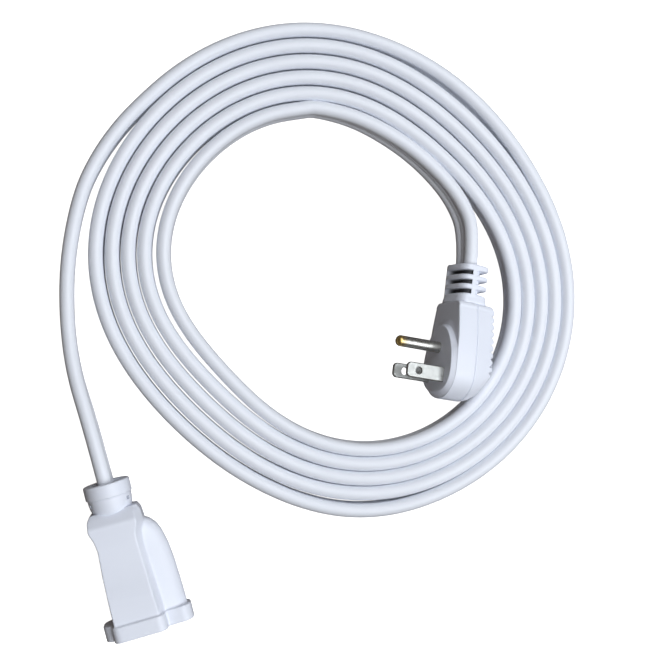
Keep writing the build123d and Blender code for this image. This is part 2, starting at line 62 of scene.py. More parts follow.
def placed(points, frame_of):
    """Local millimetres to the row frame's millimetres."""
    at, x, y, z = frame_of
    points = np.asarray(points, float)
    return at + points[..., 0:1] * x + points[..., 1:2] * y + points[..., 2:3] * z


# ---------------------------------------------------------------- camera
camera = bpy.data.objects.new("camera", bpy.data.cameras.new("camera"))
bpy.context.scene.collection.objects.link(camera)
camera.data.lens = 56.18
camera.data.sensor_width = 36
camera.matrix_world = Matrix(
    (
        (0.9924, -0.0018, -0.1233, -0.03875),
        (0.0000, 0.9999, -0.0146, 0.04349),
        (0.1233, 0.0145, 0.9923, 0.450),
        (0, 0, 0, 1),
    )
)
bpy.context.scene.camera = camera
bpy.context.scene.view_settings.view_transform = "Standard"


# ---------------------------------------------------------------- node helpers
def new_material(name):
    material = bpy.data.materials.new(name)
    material.use_nodes = True
    tree = material.node_tree
    return material, tree, tree.nodes["Principled BSDF"]


def noise(tree, vector, scale, detail=3.0, roughness=0.5):
    node = tree.nodes.new("ShaderNodeTexNoise")
    node.inputs["Scale"].default_value = scale
    node.inputs["Detail"].default_value = detail
    node.inputs["Roughness"].default_value = roughness
    tree.links.new(vector, node.inputs["Vector"])
    return node.outputs["Fac"]


def mapped(tree, value, low, high):
    node = tree.nodes.new("ShaderNodeMapRange")
    node.inputs["From Min"].default_value = 0.3
    node.inputs["From Max"].default_value = 0.7
    node.inputs["To Min"].default_value = low
    node.inputs["To Max"].default_value = high
    tree.links.new(value, node.inputs["Value"])
    return node.outputs["Result"]


def mixed(tree, factor, first, second):
    node = tree.nodes.new("ShaderNodeMix")
    node.data_type = "RGBA"
    node.inputs["A"].default_value = (*first, 1)
    node.inputs["B"].default_value = (*second, 1)
    tree.links.new(factor, node.inputs["Factor"])
    return node.outputs["Result"]


def bump(tree, height, distance, strength, before=None):
    node = tree.nodes.new("ShaderNodeBump")
    node.inputs["Distance"].default_value = distance
    node.inputs["Strength"].default_value = strength
    tree.links.new(height, node.inputs["Height"])
    if before is not None:
        tree.links.new(before, node.inputs["Normal"])
    return node.outputs["Normal"]


def stretched(tree, output, scale):
    node = tree.nodes.new("ShaderNodeMapping")
    node.inputs["Scale"].default_value = scale
    tree.links.new(output, node.inputs["Vector"])
    return node.outputs["Vector"]


def plastic(name, light, dark, roughness, grain=5200.0, grain_strength=0.10, marks=0.12):
    """Moulded plastic: a faint cloudy tone, a fine orange-peel grain and uneven gloss."""
    material, tree, shader = new_material(name)
    place = tree.nodes.new("ShaderNodeTexCoord").outputs["Object"]
    tree.links.new(
        mixed(tree, mapped(tree, noise(tree, place, 55.0), 0, 1), light, dark), shader.inputs["Base Color"]
    )
    tree.links.new(
        mapped(tree, noise(tree, place, 260.0, 4.0), roughness - 0.05, roughness + 0.07),
        shader.inputs["Roughness"],
    )
    normal = bump(tree, noise(tree, place, grain, 2.0), 0.00004, grain_strength)
    normal = bump(tree, noise(tree, place, 180.0, 2.0), 0.0003, marks, normal)
    tree.links.new(normal, shader.inputs["Normal"])
    return material


def with_painted_shade(material, attribute, colour):
    """Paints shade into a plastic's colour: darkens it where one of its mesh's attributes is high."""
    tree = material.node_tree
    socket = tree.nodes["Principled BSDF"].inputs["Base Color"]
    plain = socket.links[0].from_socket
    amount = tree.nodes.new("ShaderNodeAttribute")
    amount.attribute_name = attribute
    join = tree.nodes.new("ShaderNodeMix")
    join.data_type = "RGBA"
    join.inputs["B"].default_value = (*colour, 1)
    tree.links.new(plain, join.inputs["A"])
    tree.links.new(amount.outputs["Fac"], join.inputs["Factor"])
    tree.links.new(join.outputs["Result"], socket)
    return material


def extruded(name, light, dark, roughness):
    """Extruded jacket: fine die lines along the cord, with long soft unevenness."""
    material, tree, shader = new_material(name)
    coordinates = tree.nodes.new("ShaderNodeTexCoord")
    place, along = coordinates.outputs["Object"], coordinates.outputs["UV"]
    tree.links.new(
        mixed(tree, mapped(tree, noise(tree, place, 60.0), 0, 1), light, dark), shader.inputs["Base Color"]
    )
    tree.links.new(
        mapped(tree, noise(tree, place, 300.0, 4.0), roughness - 0.05, roughness + 0.07),
        shader.inputs["Roughness"],
    )
    lines = noise(tree, stretched(tree, along, (2.0, 150.0, 1.0)), 1.0, 2.0)
    waves = noise(tree, stretched(tree, along, (55.0, 3.0, 1.0)), 1.0, 1.0)
    normal = bump(tree, lines, 0.00005, 0.2)
    normal = bump(tree, waves, 0.0006, 0.06, normal)
    normal = bump(tree, noise(tree, place, 4800.0, 1.0), 0.00003, 0.10, normal)
    tree.links.new(normal, shader.inputs["Normal"])
    return material


def metal(name, light, dark, roughness, tip=None):
    """Plated or bare metal, with faint scratches and, if asked, another colour at its tip."""
    material, tree, shader = new_material(name)
    place = tree.nodes.new("ShaderNodeTexCoord").outputs["Object"]
    cloud = mapped(tree, noise(tree, place, 420.0, 5.0), 0, 1)
    colour = mixed(tree, cloud, light, dark)
    if tip is not None:
        tip_colour, direction, start, end = tip
        dot = tree.nodes.new("ShaderNodeVectorMath")
        dot.operation = "DOT_PRODUCT"
        dot.inputs[1].default_value = direction
        tree.links.new(place, dot.inputs[0])
        ramp = tree.nodes.new("ShaderNodeMapRange")
        ramp.inputs["From Min"].default_value = start
        ramp.inputs["From Max"].default_value = end
        tree.links.new(dot.outputs["Value"], ramp.inputs["Value"])
        join = tree.nodes.new("ShaderNodeMix")
        join.data_type = "RGBA"
        join.inputs["B"].default_value = (*tip_colour, 1)
        tree.links.new(colour, join.inputs["A"])
        tree.links.new(ramp.outputs["Result"], join.inputs["Factor"])
        colour = join.outputs["Result"]
    tree.links.new(colour, shader.inputs["Base Color"])
    shader.inputs["Metallic"].default_value = 1
    tree.links.new(
        mapped(tree, noise(tree, place, 900.0, 5.0), roughness - 0.06, roughness + 0.1),
        shader.inputs["Roughness"],
    )
    scratches = noise(tree, stretched(tree, place, (300.0, 2600.0, 2600.0)), 1.0, 3.0)
    tree.links.new(bump(tree, scratches, 0.00003, 0.12), shader.inputs["Normal"])
    return material


CORD_PVC = extruded("cord_pvc", (0.82, 0.85, 0.92), (0.80, 0.83, 0.90), 0.36)
BODY_PVC = plastic("body_pvc", (0.81, 0.845, 0.94), (0.79, 0.825, 0.92), 0.40)
# Relief plastic: the body's plastic with painted shade, near black, in the slots on the prong side, standing
# in for the deep shadow there.
RELIEF_PVC_PAINTED_SHADE = plastic("relief_pvc_painted_shade", (0.81, 0.845, 0.94), (0.79, 0.825, 0.92), 0.40)
with_painted_shade(RELIEF_PVC_PAINTED_SHADE, "painted_slot_shade", (0.05, 0.052, 0.06))
HARD_PLASTIC = plastic("hard_plastic", (0.78, 0.79, 0.84), (0.75, 0.76, 0.81), 0.34)
WHITE_WIRE = plastic("white_wire", (0.80, 0.80, 0.80), (0.76, 0.76, 0.76), 0.4)
BLACK_WIRE = plastic("black_wire", (0.025, 0.025, 0.027), (0.02, 0.02, 0.02), 0.4)
GREEN_WIRE = plastic("green_wire", (0.06, 0.30, 0.10), (0.05, 0.26, 0.08), 0.4)
NICKEL = metal("nickel", (0.46, 0.47, 0.46), (0.40, 0.41, 0.40), 0.38)
TIP_START = float(placed((15.6, 0, 11.9), PLUG_FRAME) @ PLUG_X) * MM
PIN_NICKEL = metal(
    "pin_nickel",
    (0.55, 0.55, 0.53),
    (0.48, 0.48, 0.45),
    0.30,
    tip=((0.62, 0.44, 0.16), tuple(PLUG_X), TIP_START, TIP_START + 0.0035),
)
BRASS = metal("contact_brass", (0.80, 0.62, 0.30), (0.70, 0.52, 0.24), 0.28)
COPPER = metal("copper", (0.80, 0.44, 0.28), (0.70, 0.36, 0.22), 0.35)


# ---------------------------------------------------------------- mesh helpers
def mesh_piece(name, points, faces, material):
    """A piece of the object from points in the row frame's millimetres."""
    mesh = bpy.data.meshes.new(name)
    mesh.from_pydata((np.asarray(points) * MM).tolist(), [], faces)
    mesh.validate()
    mesh.materials.append(material)
    mesh.shade_smooth()
    piece = bpy.data.objects.new(name, mesh)
    bpy.context.scene.collection.objects.link(piece)
    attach(piece, "root")
    return piece


def loft(rings):
    """Closed surface through rings of the same number of points, capped at both ends."""
    count = len(rings[0])
    points = [p for ring in rings for p in ring]
    faces = []
    for k in range(len(rings) - 1):
        a, b = k * count, (k + 1) * count
        faces += [(a + i, a + (i + 1) % count, b + (i + 1) % count, b + i) for i in range(count)]
    for first, forward in ((0, False), ((len(rings) - 1) * count, True)):
        centre = len(points)
        points.append(np.mean(points[first : first + count], axis=0))
        for i in range(count):
            edge = (first + i, first + (i + 1) % count)
            faces.append((*edge, centre) if forward else (*edge[::-1], centre))
    return np.array(points), faces


def outline_by_angle(points, centre, count):
    """Resamples a closed outline so that its points are at even angles about a centre."""
    points = np.asarray(points)
    angles = np.unwrap(np.arctan2(points[:, 1] - centre[1], points[:, 0] - centre[0]))
    order = np.argsort(angles)
    angles, points = angles[order], points[order]
    angles = np.concatenate((angles - 2 * np.pi, angles, angles + 2 * np.pi))
    points = np.concatenate((points, points, points))
    wanted = np.linspace(0, 2 * np.pi, count, endpoint=False)
    return np.stack([np.interp(wanted, angles, points[:, k]) for k in (0, 1)], axis=1)


def resampled(points, count):
    """Resamples a closed outline to points evenly spaced along it."""
    points = np.vstack((points, points[:1]))
    steps = np.concatenate(([0], np.cumsum(np.linalg.norm(np.diff(points, axis=0), axis=1))))
    wanted = np.linspace(0, steps[-1], count, endpoint=False)
    return np.stack([np.interp(wanted, steps, points[:, k]) for k in (0, 1)], axis=1)


def inset(outline, distance):
    """Moves a closed anticlockwise outline inwards along its normals."""
    tangent = np.roll(outline, -1, axis=0) - np.roll(outline, 1, axis=0)
    tangent /= np.linalg.norm(tangent, axis=1)[:, None]
    distance = np.broadcast_to(distance, len(outline))[:, None]
    return outline + np.stack((-tangent[:, 1], tangent[:, 0]), axis=1) * distance


def smoothstep(value, low, high):
    t = np.clip((value - low) / (high - low), 0, 1)
    return t * t * (3 - 2 * t)


def rounded_box(half_x, half_y, radius, steps=12):
    """Anticlockwise rounded rectangle about the origin."""
    points = []
    for corner in range(4):
        sx, sy = ((1, 1), (-1, 1), (-1, -1), (1, -1))[corner]
        for angle in np.radians(90 * corner + np.linspace(0, 90, steps)):
            points.append(
                (
                    sx * (half_x - radius) + radius * np.cos(angle),
                    sy * (half_y - radius) + radius * np.sin(angle),
                )
            )
    return np.array(points)


# ---------------------------------------------------------------- cord
# Control points of the cord's centre line: the same routes as in the CAD, in millimetres.
THICKNESS = 6.15
WIDTH = 12.4
COIL_CENTRE = (10.75, 75.79)
COIL_RADIUS = 107.72
COIL_WAVES = ((1, 7.66, -6.0), (2, 5.84, -81.0), (3, 1.21, -133.0), (4, 0.98, 0.0))
TURN_PITCH = 6.65
PITCH_WAVES = ((1, 0.31, 159.0), (2, 0.30, 120.0))
COIL_START_ANGLE = 135.6
COIL_TURNS = 5.1
# Local shifts of the line: (middle in turns, half width in turns, outward in mm).
COIL_SHIFTS = ((4.877, 0.22, -1.3), (0.238, 0.09, 1.3), (0.60, 0.07, 1.1))
POINTS_PER_TURN = 36
SPLINE_SHRINK = 1 - (1 - np.cos(2 * np.pi / POINTS_PER_TURN)) / 4
RELIEF_TOP = 49.5
CORD_X = -9.4
COLLAR_TOP = 63.8


def waves(angle, terms):
    return sum(height * np.cos(np.radians(count * angle - peak)) for count, height, peak in terms)


def coil_point(turns, grow=1.0):
    angle = COIL_START_ANGLE - 360 * turns
    pitch = TURN_PITCH + waves(angle, PITCH_WAVES)
    radius = COIL_RADIUS + waves(angle, COIL_WAVES) - pitch * turns - THICKNESS / 2
    for middle, half_width, outward in COIL_SHIFTS:
        radius += outward * np.cos(np.pi / 2 * min(abs(turns - middle) / half_width, 1)) ** 2
    x = COIL_CENTRE[0] + radius * grow * np.cos(np.radians(angle))
    y = COIL_CENTRE[1] + radius * grow * np.sin(np.radians(angle))
    return np.array((x, y, WIDTH / 2))


def along(point, angle, distance, height=WIDTH / 2):
    a = np.radians(angle)
    return np.array((point[0] + distance * np.cos(a), point[1] + distance * np.sin(a), height))


collar_centre = placed((0, COLLAR_TOP, 0), CONNECTOR_FRAME)
relief_centre = placed((CORD_X, 0, RELIEF_TOP), PLUG_FRAME)
coil_start, coil_end = coil_point(0), coil_point(COIL_TURNS)
end_angle = COIL_START_ANGLE - 360 * COIL_TURNS
turn_steps = round(COIL_TURNS * POINTS_PER_TURN)
cord_points = [
    placed((0, COLLAR_TOP - 8, 0), CONNECTOR_FRAME),
    along(collar_centre, CONNECTOR_DEGREES + 90, 23, collar_centre[2]),
    (-92.4, 32.6, 7.6),
    (-95.4, 56.1, 6.3),
    (-95.0, 81.1, 6.2),
    (-90.2, 106.1, 6.2),
    (-83.3, 121.5, 6.2),
    along(coil_start, COIL_START_ANGLE + 90, 16.5),
    *[coil_point(i / POINTS_PER_TURN, 1 / SPLINE_SHRINK) for i in range(turn_steps + 1)],
    along(coil_end, end_angle - 90, 11),
    (28.2, 142.3, 6.2),
    (46.5, 132.7, 6.3),
    (61.1, 121.1, 6.5),
    (72.4, 107.7, 7.1),
    relief_centre + PLUG_Z * 14,
    relief_centre - PLUG_Z * 8,
]
line_data = bpy.data.curves.new("cord_line", "CURVE")
line_data.dimensions = "3D"
line_data.resolution_u = 6
spline = line_data.splines.new("NURBS")
spline.points.add(len(cord_points) - 1)
for point, where in zip(spline.points, cord_points):
    point.co = (*(np.asarray(where) * MM), 1)
spline.order_u = 3
spline.use_endpoint_u = True
line = bpy.data.objects.new("cord_line", line_data)
bpy.context.scene.collection.objects.link(line)
bpy.context.view_layer.update()
line_mesh = bpy.data.meshes.new_from_object(line)
centres = np.array([v.co for v in line_mesh.vertices]) / MM
bpy.data.objects.remove(line)


def cord_section(count):
    """Half thickness over half width: two broad outer lobes and a slimmer middle ridge."""
    lobe, middle = THICKNESS / 2, 3.125
    across = (1 - np.cos(np.linspace(0, np.pi, count // 2 + 1))) / 2 * WIDTH - WIDTH / 2
    lobes = np.sqrt(np.maximum(lobe**2 - (np.abs(across) - middle) ** 2, 0))
    ridge = np.where(np.abs(across) < 1.3, 1.3 + np.sqrt(np.maximum(1.69 - across**2, 0)), 0)
    half = np.maximum(lobes, ridge)
    side = np.stack((across, half), axis=1)
    return np.vstack((side, side[-2:0:-1] * (1, -1)))


def cord_mesh():
    """The jacket: the section carried along the line, rolled to meet the plug."""
    section = cord_section(72)
    count = len(section)
    ahead = np.gradient(centres, axis=0)
    ahead /= np.linalg.norm(ahead, axis=1)[:, None]
    length = np.concatenate(([0], np.cumsum(np.linalg.norm(np.diff(centres, axis=0), axis=1))))
    to_end = length[-1] - length
    up = np.tile((0.0, 0.0, 1.0), (len(centres), 1))
    roll = 1 - smoothstep(to_end, 15, 105)
    up = up * (1 - roll)[:, None] + PLUG_Y * roll[:, None]
    lean = 0.11 * smoothstep(length, 30, 75) * (1 - smoothstep(length, 110, 190))
    lean = lean - 0.15 * smoothstep(to_end, 5, 30) * (1 - smoothstep(to_end, 75, 120))
    side = np.cross(ahead, up)
    side /= np.linalg.norm(side, axis=1)[:, None]
    up = np.cross(side, ahead)
    up, side = (
        up * np.cos(lean)[:, None] + side * np.sin(lean)[:, None],
        side * np.cos(lean)[:, None] - up * np.sin(lean)[:, None],
    )
    rings = (
        centres[:, None, :]
        + section[None, :, 0:1] * up[:, None, :]
        + section[None, :, 1:2] * side[:, None, :]
    )
    points, faces = loft(list(rings))
    piece = mesh_piece("cord", points, faces, CORD_PVC)
    layer = piece.data.uv_layers.new(name="UVMap")
    index = np.zeros(len(piece.data.loops), int)
    piece.data.loops.foreach_get("vertex_index", index)
    ring_of = np.minimum(index // count, len(centres) - 1)
    around = (index % count) / count
    flat = np.stack((length[ring_of] * MM * 10, around), axis=1)
    layer.data.foreach_set("uv", flat.astype(np.float32).ravel())
    return piece


cord_piece = cord_mesh()
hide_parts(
    "cord_outer_lead", "cord_coil", "cord_plug_lead", "plug_cord_end", "connector_cord_end"
)


# ---------------------------------------------------------------- plug
# Body seen face on: its top, the height of its widest place, and half its greatest width.
BODY_TOP, BODY_WAIST, BODY_HALF_WIDTH = 32.3, 2.5, 13.4


def body_outline(count=320):
    """Face on (Y, Z): a round lower end, sides that draw in, and rounded top corners."""
    corner = 2.6
    heights = np.linspace(BODY_WAIST, BODY_TOP - corner, 60)
    widths = BODY_HALF_WIDTH - 3.8 * ((heights - BODY_WAIST) / 29.8) ** 2
    right = np.stack((widths, heights), axis=1)
    turn = np.radians(np.linspace(12, 90, 14))[1:]
    middle = (right[-1, 0] - corner * np.cos(turn[0]) + 0.05, BODY_TOP - corner)
    arc = np.stack((middle[0] + corner * np.cos(turn), middle[1] + corner * np.sin(turn)), axis=1)
    upper = np.vstack((right, arc))
    upper = np.vstack((upper, (upper * (-1, 1))[::-1]))
    below = np.radians(np.linspace(180, 360, 60))[1:-1]
    lower = np.stack((BODY_HALF_WIDTH * np.cos(below), BODY_WAIST + 12.4 * np.sin(below)), axis=1)
    return resampled(np.vstack((upper, lower)), count)


def boss_outline(count=2000):
    """The egg-shaped boss around the prongs."""
    angles = np.linspace(0, 2 * np.pi, count, endpoint=False)
    up, out = np.sin(angles), np.cos(angles)
    blunt = np.sign(up) * np.abs(up) ** 0.86
    heights = np.where(up > 0, 19.2 * up, 11.0 * blunt)
    widths = 12.75 * np.where(up > 0, out, np.sign(out) * np.abs(out) ** 0.86)
    return np.stack((widths, 3.1 + heights), axis=1)


OUTLINE = body_outline()
# Depths along the prongs: the seam, the back, and how far the boss stands out.
SEAM_X, BACK_X, BOSS = -11.3, -21.7, 2.2


def at_x(outline, x):
    return np.column_stack((np.broadcast_to(x, len(outline)), outline))


def plug_front():
    """Front half: a chamfer at the seam, a soft front edge and the boss, flared at its foot."""
    centre = (0, 6.0)
    angles = np.arctan2(OUTLINE[:, 1] - centre[1], OUTLINE[:, 0] - centre[0])
    boss_fine = outline_by_angle(boss_outline(), centre, 4000)
    pick = np.round(angles / (2 * np.pi) * 4000).astype(int) % 4000
    boss = boss_fine[pick]
    rings = [at_x(inset(OUTLINE, 0.9), SEAM_X)]
    for x, depth in ((0.0, 0.5), (0.08, 0.32), (0.25, 0.13), (0.5, 0.03), (0.8, 0.0)):
        rings.append(at_x(inset(OUTLINE, depth), SEAM_X + x))
    rings += [at_x(OUTLINE, x) for x in np.linspace(-10.2, -BOSS - 0.9, 12)]
    top = inset(boss, 0.7)
    fillet = 0.04 + 0.66 * smoothstep(np.linalg.norm(OUTLINE - top, axis=1), 1.8, 4.0)
    for turn in np.radians(np.linspace(10, 90, 7)):
        rings.append(at_x(inset(OUTLINE, fillet * (1 - np.cos(turn))), -BOSS - 0.7 + 0.7 * np.sin(turn)))
    edge = inset(OUTLINE, fillet)
    gap = np.linalg.norm(edge - top, axis=1)
    flare = 0.9 + 1.9 * (1 - smoothstep(boss[:, 1], 6, 19))
    foot = top + (edge - top) * (np.minimum(flare, 0.94 * gap) / gap)[:, None]
    for share in (0.35, 0.7, 1.0):
        rings.append(at_x(edge + (foot - edge) * share, -BOSS))
    shares = (0.04, 0.1, 0.3, 0.5, 0.7, 0.84, 0.94, 1.0)
    rises = (0.03, 0.12, 0.56, 1.02, 1.46, 1.78, 2.02, 2.12)
    for share, rise in zip(shares, rises):
        rings.append(at_x(foot + (top - foot) * share, -BOSS + rise))
    rings.append(at_x(inset(top, 0.2), -0.02))
    rings.append(at_x(inset(top, 0.45), 0.0))
    face = rings[-1]
    middle = np.array((0, 0, 4.0))
    rings += [face + (middle - face) * share for share in (0.15, 0.4, 0.7)]
    return loft(rings)


def plug_rear():
    """Rear half: tapers back with a rounded heel, and has grip ribs on its back."""
    rings = [at_x(inset(OUTLINE, 0.9), SEAM_X)]
    rings += [at_x(inset(OUTLINE, d), SEAM_X - x) for x, d in ((0.0, 0.45), (0.08, 0.28), (0.25, 0.1))]
    depth = SEAM_X - BACK_X
    for theta in np.radians(np.linspace(4, 90, 60)):
        t = np.sin(theta)
        ring = OUTLINE.copy()
        ring[:, 0] *= 1 - (1 - 10.6 / 13.6) * t
        low = ring[:, 1] < 4.5
        ring[low, 1] = 4.5 - (4.5 - ring[low, 1]) * np.cos(theta)
        x = SEAM_X - depth * t
        near_back = np.clip((BACK_X + 3.0 - x) / 3.0, 0, 1)
        drop = 3.0 * (1 - np.sqrt(max(1 - near_back**2, 0)))
        high = ring[:, 1] > 22
        ring[high, 1] = 22 + (ring[high, 1] - 22) * (10.3 - drop) / 10.3
        soft = np.clip((t - 0.84) / 0.16, 0, 1)
        ring = inset(ring, 1.5 * (1 - np.sqrt(1 - soft**2)) * np.ones(len(ring)))
        rings.append(at_x(ring, x))
    back = rings[-1]
    middle = np.array((BACK_X, 0, 16.0))
    rings += [back + (middle - back) * share for share in np.linspace(0.04, 0.96, 16)]
    points, faces = loft(rings)
    x, z = points[:, 0], points[:, 2]
    span = smoothstep(z, 0.5, 2.5) * (1 - smoothstep(z, 29.0, 30.2))
    valley = (1 - np.abs(np.sin(np.pi * (z - 28.0) / 3.1))) ** 1.6
    points[:, 0] = x + 1.0 * valley * span * smoothstep(-x, 18.6, 20.4)
    points[:, 1] *= 1 - 0.05 * valley * span * smoothstep(-x, 18.6, 20.4)
    return points, faces


def plug_relief():
    """Strain relief: rounded rings with slots between them, joined by a spine on each side.

    Also gives how far each point lies in a slot on the prong side, for the painted shade in the slots."""
    full = resampled(rounded_box(7.5, 8.0, 4.2), 240) - (0.6, 0)
    core = resampled(rounded_box(3.75, 6.55, 3.3), 240) - (0.6, 0)
    full[:, 0] -= 0.22 * np.maximum(full[:, 0], 0) * smoothstep(full[:, 1], -4, 8)
    spine = 1 - smoothstep(np.abs(full[:, 0]), 1.0, 1.7)
    spine = np.maximum(spine, smoothstep(full[:, 0], 4.6, 6.0) * smoothstep(-full[:, 1], 4.2, 6.0))
    ring_spans = ((31.6, 36.5), (38.1, 40.6), (42.2, 44.7), (46.3, RELIEF_TOP))
    front = smoothstep(full[:, 0], -1.2, 2.2)
    rings, painted_slot_shade = [], []
    for z in np.linspace(31.8, RELIEF_TOP, 170):
        out = 0.0
        for low, high in ring_spans:
            t = abs((z - (low + high) / 2) / ((high - low) / 2))
            out = max(out, (1 - min(t, 1) ** 5) ** 0.45)
        grow = np.maximum(out, spine)
        ring = core + (full - core) * grow[:, None]
        flare = 0.5 * (1 - smoothstep(z, 32.3, 35.2))
        end = np.clip((z - RELIEF_TOP + 1.1) / 1.1, 0, 1)
        ring = inset(ring, 1.1 * (1 - np.sqrt(1 - end**2)) - flare)
        rings.append(np.column_stack((ring + (CORD_X, 0), np.full(len(ring), z))))
        # Painted shade: strongest deep in the slots on the prong side, none on the rings and spines.
        painted_slot_shade.append(smoothstep(1 - grow, 0.15, 0.8) * front)
    return *loft(rings), np.concatenate((*painted_slot_shade, (0, 0)))


def placed_piece(name, made, frame_of, material):
    points, faces = made
    return mesh_piece(name, placed(points, frame_of), faces, material)


front_piece = placed_piece("plug_front", plug_front(), PLUG_FRAME, BODY_PVC)
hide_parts("plug_front_body")
rear_piece = placed_piece("plug_rear", plug_rear(), PLUG_FRAME, BODY_PVC)
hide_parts("plug_rear_body")
*relief_made, relief_painted_slot_shade = plug_relief()
relief_piece = placed_piece("plug_relief", relief_made, PLUG_FRAME, RELIEF_PVC_PAINTED_SHADE)
# The attribute carries the painted slot shade that the relief's material darkens its colour by.
relief_piece.data.attributes.new("painted_slot_shade", "FLOAT", "POINT").data.foreach_set("value", relief_painted_slot_shade)
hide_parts("plug_strain_relief")


# ---------------------------------------------------------------- connector
def evaluated(piece):
    """Applies a piece's modifiers."""
    graph = bpy.context.evaluated_depsgraph_get()
    mesh = bpy.data.meshes.new_from_object(piece.evaluated_get(graph))
    piece.modifiers.clear()
    old = piece.data
    piece.data = mesh
    bpy.data.meshes.remove(old)


def temporary(name, points, faces):
    mesh = bpy.data.meshes.new(name)
    mesh.from_pydata(np.asarray(points).tolist(), [], faces)
    piece = bpy.data.objects.new(name, mesh)
    bpy.context.scene.collection.objects.link(piece)
    return piece


def fused(parts, voxel, smoothing):
    """One moulding from overlapping closed shapes, with every edge and corner softened."""
    points, faces = [], []
    for part_points, part_faces in parts:
        start = len(points)
        points += list(part_points)
        faces += [tuple(start + i for i in face) for face in part_faces]
    piece = temporary("moulding", points, faces)
    remesh = piece.modifiers.new("remesh", "REMESH")
    remesh.mode = "VOXEL"
    remesh.voxel_size = voxel
    evaluated(piece)
    smooth = piece.modifiers.new("smooth", "SMOOTH")
    smooth.factor = 0.5
    smooth.iterations = smoothing
    evaluated(piece)
    return piece


def cut(piece, points, faces):
    """Takes one closed shape out of a piece."""
    tool = temporary("tool", points, faces)
    boolean = piece.modifiers.new("cut", "BOOLEAN")
    boolean.operation = "DIFFERENCE"
    boolean.solver = "EXACT"
    boolean.object = tool
    evaluated(piece)
    bpy.data.objects.remove(tool)


def ring_xz(outline, y):
    """A ring in the connector's X and Z at one Y."""
    return np.column_stack((outline[:, 0], np.broadcast_to(y, len(outline)), outline[:, 1]))


def grip():
    """Grip: sloped right shoulder, finger hollow, flared rear lip and sloped rear face."""
    ys = np.linspace(4.0, 52.4, 120)
    left = np.interp(ys, (4, 28, 38, 42, 46.0, 50.5, 52.4), (-10.2, -9.9, -9.2, -9.7, -11.0, -10.6, -9.0))
    right = np.interp(ys, (4, 28, 38, 42, 45.5, 50.5, 52.4), (11.3, 10.2, 9.8, 10.2, 11.7, 11.3, 10.0))
    high = np.interp(
        ys,
        (4, 16, 20, 24, 31, 39, 43.5, 47.2, 51.4, 52.4),
        (10.5, 10.5, 9.9, 9.1, 8.5, 9.1, 9.9, 10.7, 7.4, 6.0),
    )
    kernel = np.hanning(9)
    kernel /= kernel.sum()
    left, right, high = (np.convolve(np.pad(v, 4, mode="edge"), kernel, "valid") for v in (left, right, high))
    rings = []
    for y, low_x, high_x, top in zip(ys, left, right, high):
        half = [(high_x, 0), (high_x, 4.4), (high_x - 2.6, top), (low_x, top), (low_x, 0)]
        whole = half + [(x, -z) for x, z in half[-2:0:-1]]
        rings.append(ring_xz(resampled(np.array(whole, float), 200), y))
    return loft(rings)


def wing():
    """Bell-shaped wing beside the grip, crowned towards its outer edge."""
    ys = np.concatenate((np.linspace(4.0, 39, 40), np.linspace(39.6, 47.6, 30)))
    edge = np.interp(
        ys,
        (4, 12, 25, 32.8, 39, 42.2, 44.8, 46.4, 47.3, 47.6),
        (20.2, 20.1, 19.6, 18.8, 17.4, 16.0, 13.8, 10.8, 7.6, 4.0),
    )
    kernel = np.hanning(7)
    kernel /= kernel.sum()
    edge = np.convolve(np.pad(edge, 3, mode="edge"), kernel, "valid")
    rings = []
    turns = np.linspace(-90, 90, 40)
    for y, out in zip(ys, edge):
        reach = max(out - 3.0, 0.5)
        fall = smoothstep(y, 41, 48.5)
        top = 5.3 - 1.2 * fall
        round_x = np.sign(np.cos(np.radians(turns))) * np.abs(np.cos(np.radians(turns))) ** 0.62
        round_z = np.sign(np.sin(np.radians(turns))) * np.abs(np.sin(np.radians(turns))) ** 0.9
        curve = np.stack((3.0 + reach * round_x, top * round_z), axis=1)
        whole = np.vstack((curve, ((-2.0, top), (-2.0, -top))))
        rings.append(ring_xz(resampled(whole, 160), y))
    return loft(rings)


def slab(half_x, half_z, radius, middle_x, low_y, high_y):
    outline = rounded_box(half_x, half_z, radius) + (middle_x, 0)
    return loft([ring_xz(outline, y) for y in np.linspace(low_y, high_y, 8)])


body = fused(
    [
        grip(),
        wing(),
        slab(18.5, 6.0, 4.4, 3.0, -0.1, 6.5),
        slab(11.2, 11.7, 3.6, -0.4, -0.1, 6.5),
    ],
    0.3,
    7,
)
cut(body, *slab(5.95, 9.25, 2.5, 0.5, -3.0, 2.6))
cut(body, *slab(6.55, 4.55, 3.0, 9.8, -3.0, 2.6))


def adopt(piece, name, frame_of, material):
    """Places a local piece in the row frame and makes it part of the object."""
    points = np.array([v.co for v in piece.data.vertices])
    faces = [tuple(p.vertices) for p in piece.data.polygons]
    bpy.data.objects.remove(piece)
    made = mesh_piece(name, placed(points, frame_of), faces, material)
    made.data.set_sharp_from_angle(angle=np.radians(50))
    return made


body_piece = adopt(body, "connector_moulding", CONNECTOR_FRAME, BODY_PVC)
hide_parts("connector_body")


def turned(profile, count=160):
    """A closed surface turned about the connector's Y from (Y, radius) pairs."""
    angles = np.linspace(0, 2 * np.pi, count, endpoint=False)
    rings = []
    for y, radius in profile:
        rings.append(np.stack((radius * np.sin(angles), np.full(count, y), radius * np.cos(angles)), axis=1))
    return loft(rings)


neck_y = (48.5, 50.3, 50.9, 51.6, 52.6, 54.0, 55.8, 57.2, 57.95)
neck_r = (6.2, 6.6, 7.3, 7.9, 8.4, 8.8, 9.05, 9.15, 9.2)
profile = [(y, r) for y, r in zip(neck_y, neck_r)]
profile += [(58.03, 9.3), (58.07, 9.5), (58.2, 9.66), (58.5, 9.7), (60.5, 9.7), (63.1, 9.7)]
profile += [(63.1 + 0.7 * np.sin(a), 9.0 + 0.7 * np.cos(a)) for a in np.radians((20, 40, 60, 75, 90))]
profile += [(63.8, 8.0), (63.8, 7.2), (63.7, 6.9), (63.4, 6.75), (63.0, 6.7)]
collar = temporary("collar", *turned(profile))
